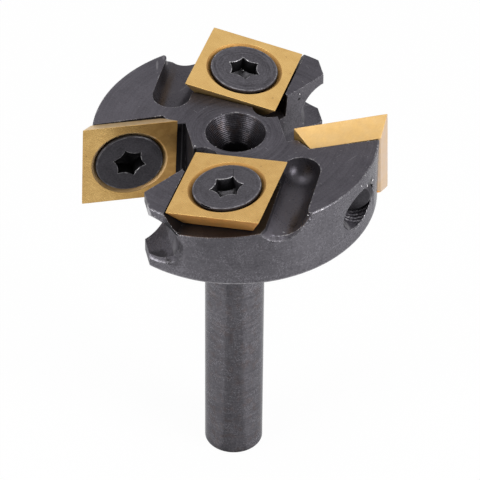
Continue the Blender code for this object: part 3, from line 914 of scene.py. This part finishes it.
# Each screw head's darkening, depth of lathe rings, painted shade on its recess's walls and painted
# light on its floor, and the turn, side step and reach of a scored line on it.
marks = dict(faceFront=dict(oil=0.0, rings=0.5, well=0.0, lit=0.45, score=(106.7, -1.29, 5.7)),
             faceBack=dict(oil=0.0, rings=1.2, well=0.5, lit=0.5),
             sideLeft=dict(oil=0.42, rings=0.3, well=0.6, lit=0.1),
             sideRight=dict(oil=0.2, rings=0.5, well=0.5, lit=0.1))
nicks = dict(faceFront=-110.5)
thread = threadTree()
for where, seat in seats.items():
    plain = screwMesh(where + "Screw", radians(screwTurns[where]), nicks.get(where))
    end = screw["top"] - screw["length"]
    threaded = -(screw["head"] - screw["thread"]) - end - screw["endChamfer"]
    mesh = grownMesh(plain, thread, {"Wall Radius": screw["thread"] - screw["ridge"],
                                     "Ridge Height": screw["ridge"], "Pitch": screw["pitch"],
                                     "Length": threaded, "Start": end + screw["endChamfer"] * 0.6,
                                     "Material": blackenedScrew})
    own = marks[where]
    turn, side, reach = own.get("score", (0, 0, 0))
    keepLocalPlace(mesh, seat, oilDepth=own["oil"], ringDepth=own["rings"], wellSoot=own["well"],
                   wellLit=own["lit"], scoreTurn=radians(turn), scoreSide=side * mm,
                   scoreReach=reach * mm)
    smoothUnder(mesh, screw["smooth"])
    showPiece(where + "Screw", mesh, blackenedScrew, [nodeNames[where][1]])
print("screws made")


# The tapped holes' threads, where the side screws' holes come out of the rim.
tapped = dict(wall=4.24 * mm, ridge=0.18 * mm, start=-16.2 * mm, length=11.7 * mm, inset=0.12 * mm,
              reachSteps=256)


# What of a mesh lies within a radius of the axis; the rest is cut away.
def insideRim(mesh, radius):
    bm = bmesh.new()
    bmesh.ops.create_cone(bm, cap_ends=True, segments=tapped["reachSteps"], radius1=radius,
                          radius2=radius, depth=head["top"],
                          matrix=Matrix.Translation((0, 0, head["top"])))
    keeper, piece = newObject("keeper", meshOf(bm, "reach")), newObject("piece", mesh)
    cut = piece.modifiers.new("cut", "BOOLEAN")
    cut.operation, cut.object = "INTERSECT", keeper
    kept = bpy.data.meshes.new_from_object(piece.evaluated_get(bpy.context.evaluated_depsgraph_get()))
    for obj in (piece, keeper):
        bpy.data.objects.remove(obj)
    return kept


def tappedMesh(seat):
    s = tapped
    mesh = grownMesh(bpy.data.meshes.new("tapped"), thread,
                     {"Wall Radius": s["wall"], "Ridge Height": s["ridge"], "Pitch": screw["pitch"],
                      "Length": s["length"], "Start": s["start"], "Material": blackOxide})
    mesh.transform(seat)
    mesh = insideRim(mesh, head["radius"] - s["inset"])
    smoothUnder(mesh, screw["smooth"])
    return mesh


for where in ("sideLeft", "sideRight"):
    showPiece(where + "TappedThread", tappedMesh(seats[where]), blackOxide)
print("tapped threads cut")


camera = dict(location=(0.001082, -0.58081, 0.57401), pitch=radians(41.63), roll=radians(0.451),
              lens=274.8, sensor=36, clipEnd=50)
# Two softboxes low at the sides of the camera and one overhead; azimuth 0 is the camera's side.
lights = dict(
    left=dict(azimuth=-57, elevation=14, distance=1.0, size=(0.55, 0.7), power=8.6),
    right=dict(azimuth=57, elevation=16, distance=1.0, size=(0.55, 0.7), power=12.8),
    overhead=dict(azimuth=-60, elevation=85, distance=1.0, size=(0.6, 0.45), power=2.2),
)
studio = dict(floorSize=3.0, floorDrop=0.02 * mm, floorTone=0.92, glowShare=0.965, ambient=0.25)
# What only mirror rays meet towards the camera, as angles to either side and distances out: the
# bit's own shade by its foot, and the darker room past the sheet's edge.
footShade = dict(angles=(39, 28), reach=(75 * mm, 62 * mm), depth=0.68)
room = dict(angles=(52, 14), reach=(107 * mm, 114 * mm), depth=0.85)


def makeCamera():
    data = bpy.data.cameras.new("photoCamera")
    data.sensor_width = camera["sensor"]
    data.lens = camera["lens"]
    data.clip_end = camera["clipEnd"]
    obj = newObject("photoCamera", data)
    obj.matrix_world = (Matrix.Translation(camera["location"])
                        @ Matrix.Rotation(pi / 2 - camera["pitch"], 4, "X")
                        @ Matrix.Rotation(camera["roll"], 4, "Z"))
    bpy.context.scene.camera = obj


def makeLights():
    for name, s in lights.items():
        data = bpy.data.lights.new(name + "Softbox", "AREA")
        data.shape = "RECTANGLE"
        data.size, data.size_y = s["size"]
        data.energy = s["power"]
        obj = newObject(name + "Softbox", data)
        azimuth, elevation = radians(s["azimuth"]), radians(s["elevation"])
        way = Vector((sin(azimuth) * cos(elevation), -cos(azimuth) * cos(elevation), sin(elevation)))
        obj.location = Vector((0, 0, head["top"])) + way * s["distance"]
        obj.rotation_euler = (-way).to_track_quat("-Z", "Y").to_euler()


# Camera, mirror and glass rays see the white set; how much of it, and its white, dimmed for
# mirror rays where the shade and the room are.
def seenSet(sh, place, onFloor):
    direct, glossy, glass = [sh.node("ShaderNodeLightPath", out=out) for out in (
        "Is Camera Ray", "Is Glossy Ray", "Is Transmission Ray")]
    x, y = sh.axes(place)[:2]
    away = x.math("ARCTAN2", x.absolute(), -y)
    inShade, inRoom = [away.smooth(*[radians(angle) for angle in s["angles"]]) * s["depth"]
                       for s in (footShade, room)]
    if onFloor:
        out = (x * x + y * y) ** 0.5
        inRoom = inRoom * out.smooth(*room["reach"]) + inShade * out.smooth(*footShade["reach"])
    dimmed = 1 - glossy * inRoom
    white = sh.node("ShaderNodeCombineColor", None, {0: dimmed, 1: dimmed, 2: dimmed})
    return (direct + glass + glossy).clamped(), white


def makeFloor():
    bm = bmesh.new()
    bmesh.ops.create_grid(bm, x_segments=1, y_segments=1, size=studio["floorSize"] / 2)
    mesh = meshOf(bm, "studioFloor")
    material, sh = newMaterial("paleFloor")
    tone, share = studio["floorTone"], studio["glowShare"]
    seen, white = seenSet(sh, sh.node("ShaderNodeTexCoord", out=3), True)
    matt = sh.node("ShaderNodeBsdfDiffuse", None, {"Color": sh.scaled(white, [tone] * 3)})
    glow = sh.node("ShaderNodeEmission", None, {"Color": white, "Strength": 1.0})
    both = sh.node("ShaderNodeMixShader", None, {0: seen * share, 1: matt, 2: glow})
    sh.node("ShaderNodeOutputMaterial", None, {"Surface": both})
    mesh.materials.append(material)
    floor = newObject("studioFloor", mesh)
    floor.location.z = -studio["floorDrop"]


def makeWorld():
    world = bpy.data.worlds.new("studioWorld")
    world.use_nodes = True
    bpy.context.scene.world = world
    sh = Shader(world.node_tree)
    seen, white = seenSet(sh, sh.node("ShaderNodeTexCoord", out=0), False)
    sky = sh.node("ShaderNodeBackground", None,
                  {"Color": white, "Strength": studio["ambient"] + seen * (1 - studio["ambient"])})
    sh.node("ShaderNodeOutputWorld", None, {"Surface": sky})


makeCamera()
makeLights()
makeFloor()
makeWorld()
bpy.context.scene.view_settings.view_transform = "Standard"
print("studio ready")
